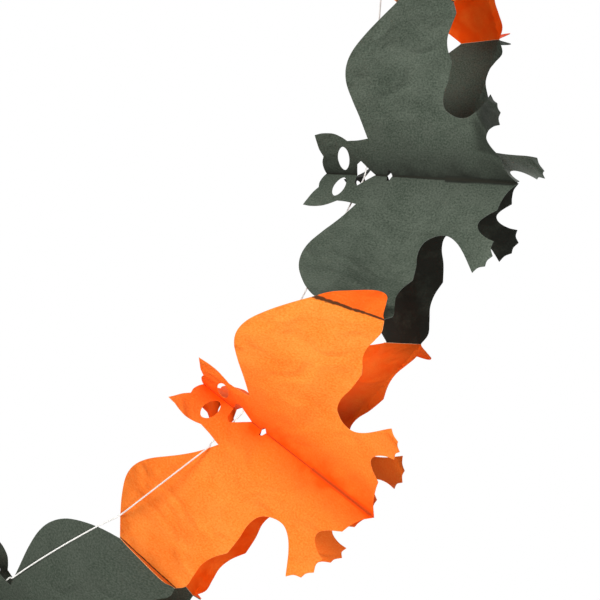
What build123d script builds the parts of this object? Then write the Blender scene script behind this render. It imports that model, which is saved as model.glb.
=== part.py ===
from build123d import *
from math import atan2, cos, degrees, radians, sin
import os

os.makedirs("parts", exist_ok=True)

# A hanging garland of die-cut paper bats, glued into a chain and strung on a cotton thread.
# The origin is the eye of the upper thread loop. +X is to the right as the garland is looked at,
# the viewer stands on the -Y side, and +Z is up. Lengths are in millimetres.

# The paper and its one die
body_length = 110.0
half_span = 96.0
paper = 0.2
glue_bead = 0.24
spine_glue_width = 1.0

# The thread
thread_diameter = 0.6
loop_width = 14.0
loop_height = 22.0
knot_diameter = 2.4
lower_tail = 46.0
thread_lift = 0.9
thread_sink = {"bat_3": 2.0, "bat_4": 1.3}

# Where the sheets of one bat part: the crease is glued from the mouth to the tail
spine_gap = 0.2
head_flare = 2.2

# Half of the die, as shares of the body length along the crease and of the half span outwards
forehead_shares = [(0.0, 0.0), (-0.008, 0.031), (-0.008, 0.073), (0.004, 0.110)]
ear_inner_shares = [(0.004, 0.110), (-0.013, 0.156), (-0.021, 0.203), (-0.028, 0.248)]
ear_outer_shares = [(-0.028, 0.248), (0.014, 0.254), (0.068, 0.244), (0.109, 0.219), (0.138, 0.194)]
neck_shares = [(0.138, 0.194), (0.191, 0.194), (0.247, 0.202)]
leading_shares = [(0.247, 0.202), (0.205, 0.318), (0.156, 0.438), (0.122, 0.542), (0.115, 0.635),
                  (0.138, 0.729), (0.191, 0.823), (0.255, 0.911), (0.327, 1.0)]
glue_line_shares = [(0.327, 1.0), (0.609, 1.0)]
flap_shares = [(0.327, 1.0), (0.373, 1.052), (0.445, 1.099), (0.527, 1.142), (0.573, 1.135),
               (0.587, 1.083), (0.596, 1.026), (0.609, 1.0)]
trailing_shares = [(0.609, 1.0), (0.630, 0.948), (0.615, 0.870), (0.600, 0.792), (0.607, 0.719),
                   (0.635, 0.648)]
arch_shares = [(0.635, 0.648), (0.622, 0.542), (0.604, 0.448), (0.613, 0.377), (0.655, 0.340),
               (0.714, 0.333), (0.768, 0.368), (0.823, 0.438), (0.891, 0.556)]
toe_shares = [[(0.891, 0.556), (0.913, 0.523), (0.945, 0.510)],
              [(0.945, 0.510), (0.949, 0.475), (0.971, 0.446)],
              [(0.971, 0.446), (0.954, 0.402), (0.960, 0.360)]]
foot_inner_shares = [(0.960, 0.360), (0.916, 0.340), (0.873, 0.300), (0.860, 0.255), (0.884, 0.215),
                     (0.938, 0.171)]
tail_shares = [(0.938, 0.171), (0.945, 0.120), (0.964, 0.057), (1.0, 0.0)]
eye_shares = [(0.081, 0.093), (0.090, 0.045), (0.112, 0.024), (0.136, 0.050), (0.144, 0.098),
              (0.134, 0.142), (0.112, 0.162), (0.091, 0.139)]
nose_shares = [(0.178, 0.0), (0.185, 0.058), (0.207, 0.077), (0.250, 0.031), (0.282, 0.0)]
mouth_shares = [(0.341, 0.0), (0.347, 0.031), (0.359, 0.027), (0.368, 0.0)]
neck_bend_share = 0.27
tip_skew_power = 1.5

# Where the thread passes through the neck of each bat, and where it lies on the front wings
thread_neck_share = 0.218
notch_behind_shares = {"bat_3": (0.215, 0.216), "bat_4": (0.214, 0.216)}
notch_front_shares = {"bat_3": (0.230, 0.242), "bat_4": (0.227, 0.246)}
edge_shares = {"bat_3": (0.262, 0.93), "bat_4": (0.238, 0.90)}
thread_bend_radii = [20.0, 20.0, 6.0, 1.8, 1.8, 4.0, 4.0, 1.8, 1.8, 4.0]
loop_shares = [(-0.055, 0.0), (-0.5, 0.6), (-0.25, 1.0), (0.25, 1.0), (0.5, 0.6), (0.055, 0.0)]
loop_bend_radii = [4.0, 3.0, 3.0, 4.0]
loop_eye_share = 0.64

# The glue
spine_glue_shares = (0.385, 0.975)
bead_fill = 0.92

# Where each bat hangs: the head end and the tail end of its crease, and how far its head nods
bat_lines = {
    "bat_1": ((-35.0, -10.0, -126.0), (72.0, -22.0, -108.0), 0),
    "bat_2": ((-49.5, 4.5, -264.5), (53.0, -31.5, -280.0), -8),
    "bat_3": ((-107.0, -6.0, -372.5), (-21.0, -14.5, -440.0), 7),
    "bat_4": ((-230.0, -12.0, -458.0), (-166.5, -11.5, -547.5), 0),
}

# Where the wing tips of neighbours meet: the head end and the tail end of each glue line
joint_lines = {
    "joint_12_front": ((-0.2, -72.5, -197.5), (27.5, -73.5, -199.0)),
    "joint_12_back": ((17.0, 40.5, -193.0), (38.5, 25.5, -195.0)),
    "joint_23_front": ((-40.5, -71.5, -338.5), (-7.5, -67.5, -350.0)),
    "joint_23_back": ((-25.5, 54.0, -345.5), (-4.0, 36.5, -349.0)),
    "joint_34_front": ((-137.0, -60.0, -451.5), (-111.5, -53.0, -475.5)),
    "joint_34_back": ((-138.0, 34.5, -455.5), (-118.5, 22.0, -476.0)),
}

# Each half sheet: what its tip is glued to, the tilt of its head half and of its tail half away
# from the bat's own plane in degrees, and how far it bellies at head, middle and tail, in shares
# of the half span
half_sheets = {
    "bat_1": {
        ("front", "upper"): (None, 38, 34, (0.0, 0.03, 0.0)),
        ("front", "lower"): ("joint_12_front", 35, 32, (0.0, 0.0, 0.0)),
        ("back", "upper"): (None, 36, 34, (0.0, 0.03, 0.0)),
        ("back", "lower"): ("joint_12_back", 39, 50, (0.0, 0.05, 0.01)),
    },
    "bat_2": {
        ("front", "upper"): ("joint_12_front", 53, 54, (-0.04, -0.08, 0.01)),
        ("front", "lower"): ("joint_23_front", 31, 27, (0.05, -0.14, -0.01)),
        ("back", "upper"): ("joint_12_back", 45, 66, (0.0, 0.065, 0.03)),
        ("back", "lower"): ("joint_23_back", 38, 50, (0.0, 0.02, 0.08)),
    },
    "bat_3": {
        ("front", "upper"): ("joint_23_front", 45, 56, (0.12, 0.03, -0.12)),
        ("front", "lower"): ("joint_34_front", 60, 24, (-0.06, -0.09, -0.01)),
        ("back", "upper"): ("joint_23_back", 44, 60, (0.0, 0.07, 0.03)),
        ("back", "lower"): ("joint_34_back", 40, 55, (0.0, 0.04, 0.02)),
    },
    "bat_4": {
        ("front", "upper"): ("joint_34_front", 37, 28, (0.0, 0.0, 0.0)),
        ("front", "lower"): (None, 35, 34, (0.0, 0.03, 0.0)),
        ("back", "upper"): ("joint_34_back", 37, 40, (0.0, 0.03, 0.0)),
        ("back", "lower"): (None, 36, 34, (0.0, 0.03, 0.0)),
    },
}
free_tilt = 36

# The sheet that lies in front where two front tips are lapped
front_lap = {"joint_12_front": "upper", "joint_23_front": "upper", "joint_34_front": "lower"}

# How far the flap in front is folded towards the viewer, and the one behind away from the sheet
flap_folds = {"joint_12_front": 0, "joint_23_front": 0, "joint_34_front": 42}
flap_stands_off = 20


def flat(share):
    """A point of the flat half sheet, along the crease and outwards from it."""
    return share[0] * body_length, share[1] * half_span


def between(value, stations):
    """The value that a list of (place, size) stations gives at a place, in straight steps."""
    if value <= stations[0][0]:
        return stations[0][1]
    for (start, low), (end, high) in zip(stations, stations[1:]):
        if value <= end:
            return low + (high - low) * (value - start) / (end - start)
    return stations[-1][1]


class HalfSheet:
    """Half of a die-cut sheet, from its crease to its wing tip, as it hangs."""

    def __init__(self, bat, face, wing):
        head, tail, nod = bat_lines[bat]
        self.joint, head_tilt, tail_tilt, bellies = half_sheets[bat][face, wing]
        self.wing = wing
        self.head = Vector(*head)
        self.nod = nod
        self.axis = (Vector(*tail) - self.head).normalized()
        viewer = Vector(0, -1, 0)
        self.toward = (viewer - self.axis * viewer.dot(self.axis)).normalized()
        upward = self.toward.cross(self.axis)
        self.side = 1 if face == "front" else -1
        self.rise = upward if wing == "upper" else upward * -1
        self.out = self.toward * self.side
        starts = [flat(share)[0] for share in glue_line_shares]
        if self.joint:
            ends = [Vector(*point) - self.head for point in joint_lines[self.joint]]
            self.tips = [end + self.lap_shift() for end in ends]
        else:
            reach = self.rise * cos(radians(free_tilt)) + self.out * sin(radians(free_tilt))
            self.tips = [self.axis * start + reach * half_span for start in starts]
        self.places = [tip.dot(self.axis) for tip in self.tips]
        tilts = [atan2(tip.dot(self.out), tip.dot(self.rise)) for tip in self.tips]
        reaches = [
            (tip.dot(self.out) ** 2 + tip.dot(self.rise) ** 2) ** 0.5 / half_span
            for tip in self.tips
        ]
        self.tilt_stations = [
            (0, radians(head_tilt)),
            (self.places[0], tilts[0]),
            (self.places[1], tilts[1]),
            (body_length, radians(tail_tilt)),
        ]
        self.reach_stations = list(zip(self.places, reaches))
        middle = sum(self.places) / 2
        self.belly_stations = list(zip((0, middle, body_length), bellies))
        self.mean_tilt = sum(tilts) / 2

    def lap_shift(self):
        """How far a glued tip lies off its joint line, for the paper and the glue between."""
        off = paper + glue_bead
        if self.joint in front_lap:
            if self.leads_lap():
                return Vector(0, 0, 0)
            return leading_half(self.joint).tip_normal() * -off
        return back_joint_normal(self.joint) * (-off / 2 if self.wing == "upper" else off / 2)

    def leads_lap(self):
        """Whether this tip is the front one of a front joint."""
        return front_lap.get(self.joint) == self.wing

    def point(self, place, outward, off=0):
        """A point of the bent sheet, or of the space in front of it."""
        along, rise, out = self.bent(place, outward)
        tilt = between(place, self.tilt_stations)
        raised = self.rise * (rise - off * sin(tilt)) + self.out * (out + off * cos(tilt))
        return self.head + self.axis * along + raised

    def die_point(self, share, off=0):
        """A point of the bent sheet given by its place on the die."""
        along_flat, outward = flat(share)
        return self.point(self.section_place(along_flat, outward), outward, off)

    def tip_run(self):
        """The way the sheet runs on at its glued tip."""
        middle = sum(self.places) / 2
        near = half_span * (1 - near_tip_share)
        return (self.point(middle, half_span) - self.point(middle, near)).normalized()

    def tip_normal(self):
        """The way the face of the sheet looks at its glued tip."""
        line = self.tips[1] - self.tips[0]
        square = self.tip_run().cross(line).normalized()
        return square if square.dot(self.out) > 0 else square * -1

    def crease(self, place):
        """How far along the axis and out of the bat's plane the crease lies at a place."""
        neck = neck_bend_share * body_length
        along, lean = place, 0
        if place < neck:
            along = neck + (place - neck) * cos(radians(self.nod))
            lean = (neck - place) * sin(radians(self.nod))
        flare = between(place, [(0, head_flare), (neck + spine_gap, 0)])
        return along, lean * self.side + spine_gap + flare

    def bent(self, place, outward):
        """Where a point of the section at a place comes to lie: along, rise and out."""
        tilt = between(place, self.tilt_stations)
        share = outward / half_span
        run = outward * between(place, self.reach_stations)
        belly = between(place, self.belly_stations) * half_span * 4 * share * (1 - share)
        along, lean = self.crease(place)
        rise = run * cos(tilt) - belly * sin(tilt)
        out = run * sin(tilt) + belly * cos(tilt)
        return along, rise, out + lean * (1 - share)

    def section_place(self, along_flat, outward):
        """The place of the section that a point of the flat sheet moves to as the tips are pulled."""
        starts = [flat(share)[0] for share in glue_line_shares]
        grow = (self.places[1] - self.places[0]) / (starts[1] - starts[0])
        at_tip = self.places[0] + (along_flat - starts[0]) * grow
        share = max(outward, 0) / half_span
        return along_flat + (at_tip - along_flat) * share**tip_skew_power

    def drawn(self, share):
        """A point of the die, seen square to the half sheet."""
        along_flat, outward = flat(share)
        place = self.section_place(along_flat, outward)
        along, rise, out = self.bent(place, outward)
        return along, rise * cos(self.mean_tilt) + out * sin(self.mean_tilt)

    def section_plane(self, place):
        """The plane square to the crease at a place."""
        along = self.crease(place)[0]
        return Plane(
            origin=self.head + self.axis * along,
            x_dir=self.rise,
            z_dir=self.rise.cross(self.out),
        )

    def outline_plane(self):
        """The plane that the half sheet is cut square to."""
        across = self.rise * cos(self.mean_tilt) + self.out * sin(self.mean_tilt)
        return Plane(origin=self.head, x_dir=self.axis, z_dir=self.axis.cross(across))


def leading_half(joint):
    """The half sheet whose tip is the front one of a front joint."""
    for bat, sheets in half_sheets.items():
        for (face, wing), sheet in sheets.items():
            if sheet[0] == joint and front_lap[joint] == wing:
                return HalfSheet(bat, face, wing)


def back_joint_run(joint):
    """The way both flaps of a back joint stick out."""
    first, last = [Vector(*point) for point in joint_lines[joint]]
    line = (last - first).normalized()
    behind = Vector(0, 1, 0)
    return (behind - line * behind.dot(line)).normalized()


def back_joint_normal(joint):
    """The upward way square to both flaps of a back joint."""
    first, last = [Vector(*point) for point in joint_lines[joint]]
    square = (last - first).cross(back_joint_run(joint)).normalized()
    return square if square.Z > 0 else square * -1


# The sections of the bent paper, and how far it runs on before it is cut along the die
section_shares = (0.0, 0.25, 0.5, 0.75, 1.0)
near_tip_share = 0.04
overrun = 4.0
fold_lap = 0.04


def paper_section(half, place):
    """The thin bent strip that a section through the half sheet shows."""
    middle = [half.bent(place, share * half_span)[1:] for share in section_shares]
    faces = []
    for side in (paper / 2, -paper / 2):
        points = []
        for index, (rise, out) in enumerate(middle):
            before = middle[max(index - 1, 0)]
            after = middle[min(index + 1, len(middle) - 1)]
            run = Vector(after[0] - before[0], after[1] - before[1]).normalized()
            points.append((rise - run.Y * side, out + run.X * side))
        faces.append(points)
    with BuildSketch(half.section_plane(place)) as strip:
        with BuildLine():
            top = Spline(*faces[0])
            bottom = Spline(*faces[1])
            Line(top @ 0, bottom @ 0)
            Line(top @ 1, bottom @ 1)
        make_face()
    return strip


def half_sheet(half):
    """One half sheet, bent, and cut along the die with its eye and its halves of nose and mouth."""
    places = [-overrun, 0, neck_bend_share * body_length]
    places += [half.places[0], half.places[1], body_length + overrun]
    places = sorted(set(places))
    with BuildPart() as sheet:
        for place in places:
            add(paper_section(half, place).sketch)
        loft(ruled=True)
        with BuildSketch(half.outline_plane()):
            with BuildLine():
                for shares in (forehead_shares, ear_inner_shares, ear_outer_shares, neck_shares,
                               leading_shares, glue_line_shares, trailing_shares, arch_shares,
                               *toe_shares, foot_inner_shares, tail_shares):
                    points = [half.drawn(share) for share in shares]
                    if len(points) == 2:
                        Line(*points)
                    else:
                        Spline(*points)
                Line(half.drawn(tail_shares[-1]), half.drawn(forehead_shares[0]))
            make_face()
            add(cut_holes(half).sketch_local, mode=Mode.SUBTRACT)
        extrude(amount=half_span, both=True, mode=Mode.INTERSECT)
    return sheet



def cut_holes(half):
    """The eye and the half of the nose and of the mouth that lie on one half sheet."""
    with BuildSketch(half.outline_plane()) as holes:
        with BuildLine():
            Spline(*[half.drawn(share) for share in eye_shares], periodic=True)
        make_face()
        for shares in (nose_shares, mouth_shares):
            with BuildLine():
                points = [half.drawn(share) for share in shares]
                Polyline(*points, close=True)
            make_face()
    return holes


def flap(half, leads):
    """The rounded wing tip beyond the glue line, leaving it in a given direction."""
    first, last = [half.head + tip for tip in half.tips]
    line = last - first
    grow = line.length / ((glue_line_shares[1][0] - glue_line_shares[0][0]) * body_length)
    square = (leads - line.normalized() * leads.dot(line.normalized())).normalized()
    plane = Plane(origin=first, x_dir=line, z_dir=line.cross(square))
    start = glue_line_shares[0][0] * body_length
    points = []
    for share in flap_shares:
        along_flat, outward = flat(share)
        points.append(((along_flat - start) * grow, outward - half_span))
    with BuildPart() as tip:
        with BuildSketch(plane):
            with BuildLine():
                Spline(*points)
                Polyline(points[-1], (points[-1][0], -fold_lap), (0, -fold_lap), points[0])
            make_face()
        extrude(amount=paper / 2, both=True)
    return tip


def turned(run, towards, angle):
    """A direction turned by an angle towards another one square to it."""
    return run * cos(radians(angle)) + towards * sin(radians(angle))


def flap_direction(half):
    """Which way the rounded wing tip beyond the glue line runs."""
    if half.joint is None:
        return half.tip_run()
    if half.joint not in front_lap:
        return back_joint_run(half.joint)
    leader = leading_half(half.joint)
    if half.leads_lap():
        return turned(half.tip_run(), half.tip_normal(), flap_folds[half.joint])
    return turned(leader.tip_run() * -1, leader.tip_normal() * -1, flap_stands_off)


def whole_sheet(bat, face):
    """One die-cut sheet: its two halves, creased along the body, with their wing-tip flaps."""
    with BuildPart() as sheet:
        for wing in ("upper", "lower"):
            half = HalfSheet(bat, face, wing)
            add(half_sheet(half).part)
            add(flap(half, flap_direction(half)).part)
    return sheet


def joint_glue(joint):
    """The bead of glue along the line where two wing tips meet."""
    first, last = [Vector(*point) for point in joint_lines[joint]]
    if joint in front_lap:
        off = leading_half(joint).tip_normal() * (-(paper + glue_bead) / 2)
        first, last = first + off, last + off
    with BuildPart() as bead:
        with BuildSketch(Plane(origin=first, z_dir=last - first)):
            Circle(glue_bead * bead_fill / 2)
        extrude(amount=(last - first).length)
    return bead


def spine_glue(bat):
    """The line of glue between the creases of the two sheets of a bat, from mouth to tail."""
    half = HalfSheet(bat, "front", "upper")
    start, end = [share * body_length for share in spine_glue_shares]
    plane = Plane(origin=half.head + half.axis * start, x_dir=half.rise, z_dir=half.axis)
    with BuildPart() as strip:
        with BuildSketch(plane):
            Rectangle(spine_glue_width, spine_gap)
        extrude(amount=end - start)
    return strip


def neck_point(bat):
    """Where the thread passes between the two sheets of a bat."""
    half = HalfSheet(bat, "front", "upper")
    neck = neck_bend_share * body_length
    place = thread_neck_share * body_length
    lean = (neck - place) * sin(radians(half.nod))
    return half.head + half.axis * half.crease(place)[0] + half.toward * lean


def round_thread(points, radii):
    """Thread along straight runs with rounded corners."""
    with BuildPart() as thread:
        with BuildLine() as route:
            FilletPolyline(*points, radius=radii)
        with BuildSketch(Plane(origin=route.line @ 0, z_dir=route.line % 0)):
            Circle(thread_diameter / 2)
        sweep()
    return thread


def loop_points(knot, away, across):
    """The corners of a thread loop that leaves a knot and comes back to it."""
    return [
        knot + away * (loop_height * up) + across * (loop_width * aside)
        for aside, up in loop_shares
    ]


# The thread, from the knot under the upper loop to the knot above the lower one
upper_knot = Vector(0, 0, -loop_height * loop_eye_share)
in_front = {
    "bat_3": HalfSheet("bat_3", "front", "lower"),
    "bat_4": HalfSheet("bat_4", "front", "upper"),
}
last_rise = HalfSheet("bat_4", "front", "upper").rise
lower_knot = neck_point("bat_4") - last_rise * lower_tail
thread_points = [
    upper_knot,
    neck_point("bat_1"),
    neck_point("bat_2"),
    neck_point("bat_3"),
    in_front["bat_3"].die_point(notch_behind_shares["bat_3"], -thread_sink["bat_3"]),
    in_front["bat_3"].die_point(notch_front_shares["bat_3"], thread_lift),
    in_front["bat_3"].die_point(edge_shares["bat_3"], thread_lift),
    in_front["bat_4"].die_point(edge_shares["bat_4"], thread_lift),
    in_front["bat_4"].die_point(notch_front_shares["bat_4"], thread_lift),
    in_front["bat_4"].die_point(notch_behind_shares["bat_4"], -thread_sink["bat_4"]),
    neck_point("bat_4"),
    lower_knot,
]

with BuildPart() as thread:
    add(round_thread(thread_points, thread_bend_radii).part)
    for knot, away in ((upper_knot, Vector(0, 0, 1)), (lower_knot, last_rise * -1)):
        across = away.cross(Vector(0, 1, 0))
        add(round_thread(loop_points(knot, away, across), loop_bend_radii).part)
        with Locations(knot):
            Sphere(knot_diameter / 2)
thread.part.label = "thread"
export_step(thread.part, "parts/thread.step")

run_length = sum((b - a).length for a, b in zip(thread_points, thread_points[1:]))
print("thread run", round(run_length), "mm, bend radii", thread_bend_radii, loop_bend_radii)
print("thread volume", round(thread.part.volume, 1), "mm3")

for joint in joint_lines:
    bead = joint_glue(joint)
    bead.part.label = f"{joint}_glue"
    export_step(bead.part, f"parts/{joint}_glue.step")

for bat in bat_lines:
    strip = spine_glue(bat)
    strip.part.label = f"{bat}_spine_glue"
    export_step(strip.part, f"parts/{bat}_spine_glue.step")

for bat in bat_lines:
    for face in ("front", "back"):
        sheet = whole_sheet(bat, face)
        sheet.part.label = f"{bat}_{face}_sheet"
        export_step(sheet.part, f"parts/{bat}_{face}_sheet.step")
        print(sheet.part.label, round(sheet.part.volume), "mm3")
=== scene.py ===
# %% [markdown]
# # A hanging garland of die-cut paper bats
# The garland is a chain of orange and black bats. Each bat is two identical sheets, creased along
# the body and glued crease to crease, and the wing tips of neighbours are glued together, so that
# the chain opens like a concertina. A white cotton thread runs through the necks. The creases, the
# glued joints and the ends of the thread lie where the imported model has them. This script gives
# the sheets their fine cut and their bends, and the paper, the thread and the glue their looks.

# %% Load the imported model
import math
import bmesh
import bpy
import numpy
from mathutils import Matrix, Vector
from mathutils.geometry import delaunay_2d_cdt


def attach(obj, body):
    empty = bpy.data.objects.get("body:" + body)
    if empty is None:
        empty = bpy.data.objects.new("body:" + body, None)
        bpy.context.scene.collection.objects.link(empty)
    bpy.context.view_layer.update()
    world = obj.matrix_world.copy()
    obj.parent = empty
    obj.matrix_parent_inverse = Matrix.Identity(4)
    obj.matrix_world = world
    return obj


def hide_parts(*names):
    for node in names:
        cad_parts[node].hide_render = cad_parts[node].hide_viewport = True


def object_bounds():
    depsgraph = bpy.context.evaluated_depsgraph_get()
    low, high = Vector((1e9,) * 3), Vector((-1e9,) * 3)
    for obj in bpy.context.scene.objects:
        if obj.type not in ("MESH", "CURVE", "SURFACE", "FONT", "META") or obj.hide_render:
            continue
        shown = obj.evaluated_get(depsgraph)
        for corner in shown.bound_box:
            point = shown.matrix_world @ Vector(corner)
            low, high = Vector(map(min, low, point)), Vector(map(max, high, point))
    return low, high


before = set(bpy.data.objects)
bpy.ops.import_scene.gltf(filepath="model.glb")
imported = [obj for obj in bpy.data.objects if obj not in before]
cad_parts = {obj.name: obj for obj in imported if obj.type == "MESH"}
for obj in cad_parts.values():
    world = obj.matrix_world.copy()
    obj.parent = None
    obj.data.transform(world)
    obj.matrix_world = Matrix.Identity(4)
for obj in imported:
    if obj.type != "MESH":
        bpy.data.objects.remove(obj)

solid_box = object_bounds()
print("nodes in the model:", len(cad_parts))

# %% [markdown]
# The camera stands a little to the right of the garland and a little below its middle, far off
# with a long lens, so that the chain is seen almost without perspective.

# %% The camera
mm = 0.001
look_at = Vector((-60 * mm, 0, -330 * mm))
camera_turn, camera_rise, camera_distance = math.radians(10), math.radians(-8), 1.5
camera_away = Vector((
    math.sin(camera_turn) * math.cos(camera_rise),
    -math.cos(camera_turn) * math.cos(camera_rise),
    math.sin(camera_rise),
))
camera_data = bpy.data.cameras.new("camera")
camera_data.lens = 180
camera_data.sensor_width = 36
camera = bpy.data.objects.new("camera", camera_data)
camera.location = look_at + camera_away * camera_distance
camera.rotation_euler = camera_away.to_track_quat("Z", "Y").to_euler()
bpy.context.collection.objects.link(camera)
bpy.context.scene.camera = camera
print("camera at", [round(value, 3) for value in camera.location])

# %% [markdown]
# Shader and geometry maths are easier to read as Python. `Value` wraps one socket, and its
# operators add the Math or Vector Math nodes; `Nodes.make` adds any other node.

# %% A short way to write node maths
def is_vector(part):
    """Whether a part of a sum is a socket that holds a vector or a colour."""
    return isinstance(part, Value) and part.socket.type in ("VECTOR", "RGBA")


class Value:
    """One socket of a node tree, with Python's operators."""

    def __init__(self, nodes, socket):
        self.nodes = nodes
        self.socket = socket

    def math(self, operation, first, second=0.0, clamp=False):
        vectors = is_vector(first) + is_vector(second)
        if operation == "MULTIPLY" and vectors == 1:
            vector, size = (first, second) if is_vector(first) else (second, first)
            return self.nodes.make("ShaderNodeVectorMath", {"operation": "SCALE"},
                                   {0: vector, "Scale": size})
        kind = "ShaderNodeVectorMath" if vectors else "ShaderNodeMath"
        settings = {"operation": operation}
        if clamp:
            settings["use_clamp"] = True
        return self.nodes.make(kind, settings, {0: first, 1: second})

    def __add__(self, other):
        return self.math("ADD", self, other)

    __radd__ = __add__

    def __sub__(self, other):
        return self.math("SUBTRACT", self, other)

    def __rsub__(self, other):
        return self.math("SUBTRACT", other, self)

    def __mul__(self, other):
        return self.math("MULTIPLY", self, other)

    __rmul__ = __mul__

    def __truediv__(self, other):
        return self.math("DIVIDE", self, other)

    def __pow__(self, other):
        return self.math("POWER", self, other)

    def sine(self):
        return self.math("SINE", self)

    def cosine(self):
        return self.math("COSINE", self)

    def most(self, other):
        return self.math("MAXIMUM", self, other)

    def held(self):
        """The value kept between 0 and 1."""
        return self.math("ADD", self, 0.0, clamp=True)


class Nodes:
    """Adds nodes to one tree."""

    def __init__(self, tree):
        self.tree = tree

    def make(self, kind, settings=None, values=None, output=0):
        node = self.tree.nodes.new(kind)
        for name, setting in (settings or {}).items():
            setattr(node, name, setting)
        for name, value in (values or {}).items():
            socket = node.inputs[name]
            if isinstance(value, Value):
                self.tree.links.new(value.socket, socket)
            else:
                socket.default_value = value
        if not len(node.outputs):
            return None
        return Value(self, node.outputs[output])

    def also(self, value, output):
        """Another output of the node that a value comes from."""
        return Value(self, value.socket.node.outputs[output])


def shader_nodes(name):
    """A new material and the maker of its nodes."""
    material = bpy.data.materials.new(name)
    material.use_nodes = True
    material.node_tree.nodes.clear()
    return material, Nodes(material.node_tree)


def shape_nodes(name, inputs):
    """A new Geometry Nodes tree with named inputs, and its first values."""
    tree = bpy.data.node_groups.new(name, "GeometryNodeTree")
    tree.interface.new_socket("Geometry", in_out="INPUT", socket_type="NodeSocketGeometry")
    for label, kind in inputs:
        tree.interface.new_socket(label, in_out="INPUT", socket_type=kind)
    tree.interface.new_socket("Geometry", in_out="OUTPUT", socket_type="NodeSocketGeometry")
    nodes = Nodes(tree)
    group_input = tree.nodes.new("NodeGroupInput")
    start = {socket.name: Value(nodes, socket) for socket in group_input.outputs if socket.name}
    return tree, nodes, start


def finished_mesh(source, tree, settings):
    """The plain mesh that a tree makes of an object, which is then gone."""
    modifier = source.modifiers.new("shape", "NODES")
    modifier.node_group = tree
    for item in tree.interface.items_tree:
        if item.in_out == "INPUT" and item.name in settings:
            modifier[item.identifier] = settings[item.name]
    bpy.context.view_layer.update()
    graph = bpy.context.evaluated_depsgraph_get()
    mesh = bpy.data.meshes.new_from_object(source.evaluated_get(graph), depsgraph=graph)
    bpy.data.objects.remove(source)
    return mesh


# %% [markdown]
# One steel-rule die cuts all the sheets: a bat with pointed ears, scalloped wings, clawed feet,
# and holes for the eyes, the nose and the mouth. Half of its outline is enough, because each sheet
# is folded along the body. The numbers are shares of the body length along the crease, and of the
# half span outwards.

# %% The die
body_length = 110 * mm
half_span = 96 * mm
paper = 0.2 * mm

outline_shares = [
    [(0.0, 0.0), (-0.008, 0.031), (-0.008, 0.073), (0.004, 0.110)],
    [(0.004, 0.110), (-0.013, 0.156), (-0.021, 0.203), (-0.028, 0.248)],
    [(-0.028, 0.248), (0.014, 0.254), (0.068, 0.244), (0.109, 0.219), (0.138, 0.194)],
    [(0.138, 0.194), (0.191, 0.194), (0.247, 0.202)],
    [(0.247, 0.202), (0.205, 0.318), (0.156, 0.438), (0.122, 0.542), (0.115, 0.635),
     (0.138, 0.729), (0.191, 0.823), (0.255, 0.911), (0.327, 1.0)],
    [(0.327, 1.0), (0.373, 1.052), (0.445, 1.099), (0.527, 1.142), (0.573, 1.135),
     (0.587, 1.083), (0.596, 1.026), (0.609, 1.0)],
    [(0.609, 1.0), (0.630, 0.948), (0.615, 0.870), (0.600, 0.792), (0.607, 0.719),
     (0.635, 0.648)],
    [(0.635, 0.648), (0.622, 0.542), (0.604, 0.448), (0.613, 0.377), (0.655, 0.340),
     (0.714, 0.333), (0.768, 0.368), (0.823, 0.438), (0.891, 0.556)],
    [(0.891, 0.556), (0.913, 0.523), (0.945, 0.510)],
    [(0.945, 0.510), (0.949, 0.475), (0.971, 0.446)],
    [(0.971, 0.446), (0.954, 0.402), (0.960, 0.360)],
    [(0.960, 0.360), (0.916, 0.340), (0.873, 0.300), (0.860, 0.255), (0.884, 0.215),
     (0.938, 0.171)],
    [(0.938, 0.171), (0.945, 0.120), (0.964, 0.057), (1.0, 0.0)],
]
eye_shares = [(0.081, 0.093), (0.090, 0.045), (0.112, 0.024), (0.136, 0.050), (0.144, 0.098),
              (0.134, 0.142), (0.112, 0.162), (0.091, 0.139)]
nose_shares = [(0.178, 0.0), (0.185, 0.058), (0.207, 0.077), (0.250, 0.031), (0.282, 0.0)]
mouth_shares = [(0.341, 0.0), (0.347, 0.031), (0.359, 0.027), (0.368, 0.0)]
glue_line_shares = (0.327, 0.609)


def flat(share):
    """A place on the die, along the crease and outwards from it."""
    return share[0] * body_length, share[1] * half_span


def smooth_run(points, step, closed=False):
    """Points a step apart along a smooth curve through the given ones."""
    count = len(points)
    if closed:
        before, after = [points[-1]], [points[0], points[1]]
    else:
        before = [tuple(2 * a - b for a, b in zip(points[0], points[1]))]
        after = [tuple(2 * a - b for a, b in zip(points[-1], points[-2]))]
    row = before + list(points) + after
    run = []
    for index in range(1, count + 1 if closed else count):
        a, b, c, d = [Vector(point) for point in row[index - 1:index + 3]]
        pieces = max(2, round((c - b).length / step))
        for piece in range(pieces):
            u = piece / pieces
            run.append(tuple(0.5 * (2 * b + (c - a) * u + (2 * a - 5 * b + 4 * c - d) * u**2
                                    + (3 * b - a - 3 * c + d) * u**3)))
    return run if closed else run + [points[-1]]


# %% [markdown]
# The flat half sheet becomes a fine triangle mesh, cut exactly along the die. One polygon would
# have the right outline too, but it couldn't bend, so a grid of points fills it. The grid covers
# the die from one corner to the other, in shares. Every second row is shifted by half a step, so
# that the triangles are nearly even. A constrained Delaunay triangulation keeps each edge of the
# cut. The glue line, where the wing-tip flap folds, is a row of edges of its own.

# %% Helpers for the flat half sheet
grid_step = 1.5 * mm
cut_step = 1.0 * mm
clear_of_cut, clear_of_glue_line = 0.55 * grid_step, 0.7 * grid_step
grid_from, grid_to = (-0.05, 0.008), (1.02, 1.16)
row_share = 0.87
same_point = 1e-7


def inside(points, ring):
    """Which of the points lie inside a ring."""
    found = numpy.zeros(len(points), bool)
    x, y = points[:, 0], points[:, 1]
    for (x0, y0), (x1, y1) in zip(ring, ring[1:] + ring[:1]):
        crosses = (y0 > y) != (y1 > y)
        with numpy.errstate(divide="ignore", invalid="ignore"):
            found ^= crosses & (x < (x1 - x0) * (y - y0) / (y1 - y0) + x0)
    return found


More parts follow.
